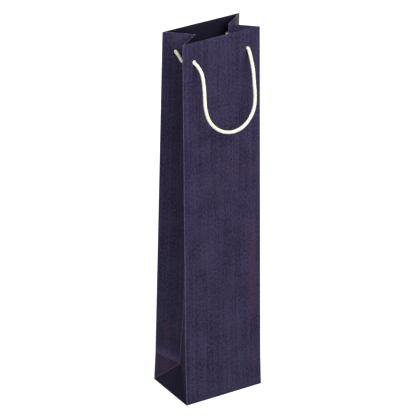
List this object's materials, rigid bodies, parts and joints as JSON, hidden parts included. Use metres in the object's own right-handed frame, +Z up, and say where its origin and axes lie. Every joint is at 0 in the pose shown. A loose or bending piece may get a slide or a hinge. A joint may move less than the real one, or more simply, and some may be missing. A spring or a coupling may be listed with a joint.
{
  "type": "wine gift bag",
  "caption": "Tall narrow paper gift bag for a wine bottle, dark violet-blue, with gusseted sides, a block bottom and knotted cord handles that swing up.",
  "frame": {"origin": "centre of the bag's footprint, at the underside of the bottom", "axes": "+Z up to the mouth, +X to the right along the broad panels, -Y out of the front panel; the handles hang in front and behind"},
  "size_m": [0.0952, 0.092, 0.42],
  "materials": {
    "printed_paper": "matte",
    "side_paper": "matte",
    "bare_kraft": "matte",
    "grey_card": "matte",
    "cotton_cord": "matte"
  },
  "bodies": {
    "bag": {"front_panel": "printed_paper", "back_panel": "printed_paper", "front_hem": "printed_paper", "back_hem": "printed_paper", "front_bottom_flap": "printed_paper", "back_bottom_flap": "printed_paper", "left_gusset_front_half": "side_paper", "left_gusset_back_half": "side_paper", "right_gusset_front_half": "side_paper", "right_gusset_back_half": "side_paper", "left_gusset_front_hem": "side_paper", "left_gusset_back_hem": "side_paper", "right_gusset_front_hem": "side_paper", "right_gusset_back_hem": "side_paper", "left_bottom_triangle": "side_paper", "right_bottom_triangle": "side_paper", "left_end_flap": "bare_kraft", "right_end_flap": "bare_kraft", "side_seam_tab": "bare_kraft", "front_card_strip": "grey_card", "back_card_strip": "grey_card", "bottom_card": "grey_card", "front_left_cord_end": "cotton_cord", "front_right_cord_end": "cotton_cord", "back_left_cord_end": "cotton_cord", "back_right_cord_end": "cotton_cord", "front_left_knot": "cotton_cord", "front_right_knot": "cotton_cord", "back_left_knot": "cotton_cord", "back_right_knot": "cotton_cord"},
    "front_handle": {"front_handle_loop": "cotton_cord"},
    "back_handle": {"back_handle_loop": "cotton_cord"}
  },
  "joints": [
    {"name": "front_handle_swing", "type": "hinge", "parent": "bag", "child": "front_handle", "pos_m": [0, -0.03016, 0.3916], "axis": [-1, 0, 0], "range_deg": [0, 175]},
    {"name": "back_handle_swing", "type": "hinge", "parent": "bag", "child": "back_handle", "pos_m": [0, 0.03016, 0.3916], "axis": [1, 0, 0], "range_deg": [0, 175]}
  ]
}
